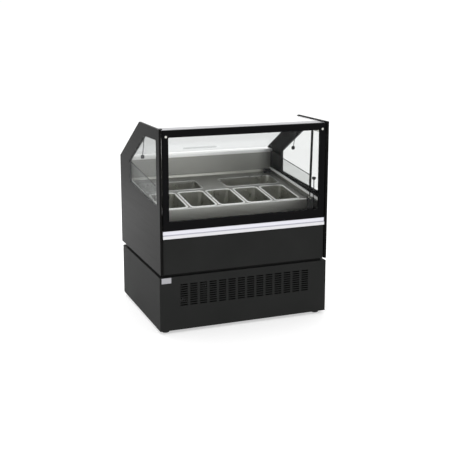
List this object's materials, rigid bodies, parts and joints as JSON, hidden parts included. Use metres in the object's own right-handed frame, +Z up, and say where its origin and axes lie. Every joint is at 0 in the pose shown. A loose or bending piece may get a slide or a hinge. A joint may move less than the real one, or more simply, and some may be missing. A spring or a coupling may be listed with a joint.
{
  "type": "ice cream dipping cabinet",
  "caption": "Glazed, cooled counter for scooping ice cream: black base with grille, lift-up front glass, windowed side panels, and lift-out pans in a sloped steel deck under a clear rear hatch.",
  "frame": {"origin": "the middle of the footprint, on the floor", "axes": "+Z up, +X to the right as the customer sees it, -Y towards the customer and +Y towards the server"},
  "size_m": [1, 0.808, 1.125],
  "materials": {
    "black_paint": "satin black powder coat",
    "side_laminate": "semi-gloss black laminate",
    "stainless": "brushed stainless steel",
    "aluminium": "satin anodised aluminium",
    "clear_glass": "clear polished glass",
    "white_enamel": "gloss white enamel",
    "black_plastic": "moulded black plastic",
    "copper": "dull copper tube"
  },
  "bodies": {
    "cabinet": {"base_front_panel": "black_paint", "base_side_left": "black_paint", "base_side_right": "black_paint", "base_rear_grille": "black_paint", "base_floor": "black_paint", "body_plinth": "black_paint", "compressor": "black_paint", "condenser": "aluminium", "fan_shroud": "black_plastic", "liquid_line": "copper", "tub": "stainless", "side_liner_left": "stainless", "side_liner_right": "stainless", "rear_wall": "stainless", "rear_panel": "black_paint", "lower_fascia": "black_paint", "trim_strip": "aluminium", "deck": "stainless", "evaporator": "aluminium", "side_panel_left": "side_laminate", "side_panel_right": "side_laminate", "side_window_left": "clear_glass", "side_window_right": "clear_glass", "side_baffle_left": "clear_glass", "side_baffle_right": "clear_glass", "canopy_rail": "aluminium", "top_sheet": "white_enamel", "canopy_lamp": "white_enamel", "control_panel": "black_plastic", "power_inlet": "black_plastic"},
    "lifting_glass": {"glass_frame": "black_paint", "front_glass": "clear_glass", "glass_arm_left": "stainless", "glass_arm_right": "stainless"},
    "hatch": {"rear_hatch": "clear_glass", "hatch_handle": "black_plastic"},
    "strut_rod_left": {"strut_rod_left": "stainless"},
    "strut_rod_right": {"strut_rod_right": "stainless"},
    "strut_tube_left": {"strut_tube_left": "black_paint"},
    "strut_tube_right": {"strut_tube_right": "black_paint"},
    "hatch_prop_left": {"hatch_prop_left": "black_plastic"},
    "hatch_prop_right": {"hatch_prop_right": "black_plastic"},
    "drain_plug": {"drain_plug": "black_plastic"},
    "front_pan_1": {"front_pan_1": "stainless"},
    "front_pan_2": {"front_pan_2": "stainless"},
    "front_pan_3": {"front_pan_3": "stainless"},
    "front_pan_4": {"front_pan_4": "stainless"},
    "front_pan_5": {"front_pan_5": "stainless"},
    "rear_pan_left": {"rear_pan_left": "stainless"},
    "rear_pan_right": {"rear_pan_right": "stainless"},
    "condensate_tray": {"condensate_tray": "black_plastic"},
    "condenser_fan": {"condenser_fan": "black_plastic"},
    "foot_front_left": {"foot_front_left": "black_plastic"},
    "foot_front_right": {"foot_front_right": "black_plastic"},
    "foot_rear_left": {"foot_rear_left": "black_plastic"},
    "foot_rear_right": {"foot_rear_right": "black_plastic"},
    "power_switch": {"power_switch": "black_plastic"},
    "light_switch": {"light_switch": "black_plastic"},
    "thermostat_key_up": {"thermostat_key_up": "black_plastic"},
    "thermostat_key_down": {"thermostat_key_down": "black_plastic"}
  },
  "joints": [
    {"name": "front_glass_hinge", "type": "hinge", "parent": "cabinet", "child": "lifting_glass", "pos_m": [0, -0.3777, 1.1175], "axis": [-1, 0, 0], "range_deg": [0, 50]},
    {"name": "strut_rod_left_pivot", "type": "hinge", "parent": "cabinet", "child": "strut_rod_left", "pos_m": [-0.455, -0.2645, 0.669], "axis": [1, 0, 0], "range_deg": [0, 11.6]},
    {"name": "strut_tube_left_slide", "type": "slide", "parent": "strut_rod_left", "child": "strut_tube_left", "axis": [0, 0.0471, -0.9989], "range_m": [0, 0.046]},
    {"name": "strut_rod_right_pivot", "type": "hinge", "parent": "cabinet", "child": "strut_rod_right", "pos_m": [0.455, -0.2645, 0.669], "axis": [1, 0, 0], "range_deg": [0, 11.6]},
    {"name": "strut_tube_right_slide", "type": "slide", "parent": "strut_rod_right", "child": "strut_tube_right", "axis": [0, 0.0471, -0.9989], "range_m": [0, 0.046]},
    {"name": "rear_hatch_hinge", "type": "hinge", "parent": "cabinet", "child": "hatch", "pos_m": [0, -0.0262, 1.1136], "axis": [1, 0, 0], "range_deg": [0, 50]},
    {"name": "hatch_prop_left_pivot", "type": "hinge", "parent": "cabinet", "child": "hatch_prop_left", "pos_m": [-0.4715, -0.042, 1.046], "axis": [1, 0, 0], "range_deg": [0, 110.1]},
    {"name": "hatch_prop_right_pivot", "type": "hinge", "parent": "cabinet", "child": "hatch_prop_right", "pos_m": [0.4715, -0.042, 1.046], "axis": [1, 0, 0], "range_deg": [0, 110.1]},
    {"name": "drain_plug_lift", "type": "slide", "parent": "cabinet", "child": "drain_plug", "axis": [0, 0, 1], "range_m": [0, 0.025]},
    {"name": "front_pan_1_lift", "type": "slide", "parent": "cabinet", "child": "front_pan_1", "axis": [0, -0.1357, 0.9907], "range_m": [0, 0.16]},
    {"name": "front_pan_2_lift", "type": "slide", "parent": "cabinet", "child": "front_pan_2", "axis": [0, -0.1357, 0.9907], "range_m": [0, 0.16]},
    {"name": "front_pan_3_lift", "type": "slide", "parent": "cabinet", "child": "front_pan_3", "axis": [0, -0.1357, 0.9907], "range_m": [0, 0.16]},
    {"name": "front_pan_4_lift", "type": "slide", "parent": "cabinet", "child": "front_pan_4", "axis": [0, -0.1357, 0.9907], "range_m": [0, 0.16]},
    {"name": "front_pan_5_lift", "type": "slide", "parent": "cabinet", "child": "front_pan_5", "axis": [0, -0.1357, 0.9907], "range_m": [0, 0.16]},
    {"name": "rear_pan_left_lift", "type": "slide", "parent": "cabinet", "child": "rear_pan_left", "axis": [0, -0.1357, 0.9907], "range_m": [0, 0.13]},
    {"name": "rear_pan_right_lift", "type": "slide", "parent": "cabinet", "child": "rear_pan_right", "axis": [0, -0.1357, 0.9907], "range_m": [0, 0.13]},
    {"name": "condensate_tray_slide", "type": "slide", "parent": "cabinet", "child": "condensate_tray", "axis": [0, 1, 0], "range_m": [0, 0.2]},
    {"name": "condenser_fan_spin", "type": "hinge", "parent": "cabinet", "child": "condenser_fan", "pos_m": [0, -0.302, 0.16], "axis": [0, -1, 0], "continuous": true},
    {"name": "foot_front_left_turn", "type": "hinge", "parent": "cabinet", "child": "foot_front_left", "pos_m": [-0.457, -0.349, 0], "axis": [0, 0, 1], "continuous": true},
    {"name": "foot_front_right_turn", "type": "hinge", "parent": "cabinet", "child": "foot_front_right", "pos_m": [0.457, -0.349, 0], "axis": [0, 0, 1], "continuous": true},
    {"name": "foot_rear_left_turn", "type": "hinge", "parent": "cabinet", "child": "foot_rear_left", "pos_m": [-0.457, 0.322, 0], "axis": [0, 0, 1], "continuous": true},
    {"name": "foot_rear_right_turn", "type": "hinge", "parent": "cabinet", "child": "foot_rear_right", "pos_m": [0.457, 0.322, 0], "axis": [0, 0, 1], "continuous": true},
    {"name": "power_switch_rock", "type": "hinge", "parent": "cabinet", "child": "power_switch", "pos_m": [0.375, 0.3975, 0.74], "axis": [-1, 0, 0], "range_deg": [0, 20]},
    {"name": "light_switch_rock", "type": "hinge", "parent": "cabinet", "child": "light_switch", "pos_m": [0.335, 0.3975, 0.74], "axis": [-1, 0, 0], "range_deg": [0, 20]},
    {"name": "thermostat_key_up_press", "type": "slide", "parent": "cabinet", "child": "thermostat_key_up", "axis": [0, -1, 0], "range_m": [0, 0.001], "stiffness_N_per_m": 300},
    {"name": "thermostat_key_down_press", "type": "slide", "parent": "cabinet", "child": "thermostat_key_down", "axis": [0, -1, 0], "range_m": [0, 0.001], "stiffness_N_per_m": 300}
  ],
  "couplings": [
    {"joint": "strut_rod_left_pivot", "follows": "front_glass_hinge", "ratio": 0.229},
    {"joint": "strut_tube_left_slide", "follows": "front_glass_hinge", "m_per_rad": 0.0521},
    {"joint": "strut_rod_right_pivot", "follows": "front_glass_hinge", "ratio": 0.229},
    {"joint": "strut_tube_right_slide", "follows": "front_glass_hinge", "m_per_rad": 0.0521},
    {"joint": "hatch_prop_left_pivot", "follows": "rear_hatch_hinge", "ratio": 2.2},
    {"joint": "hatch_prop_right_pivot", "follows": "rear_hatch_hinge", "ratio": 2.2}
  ]
}
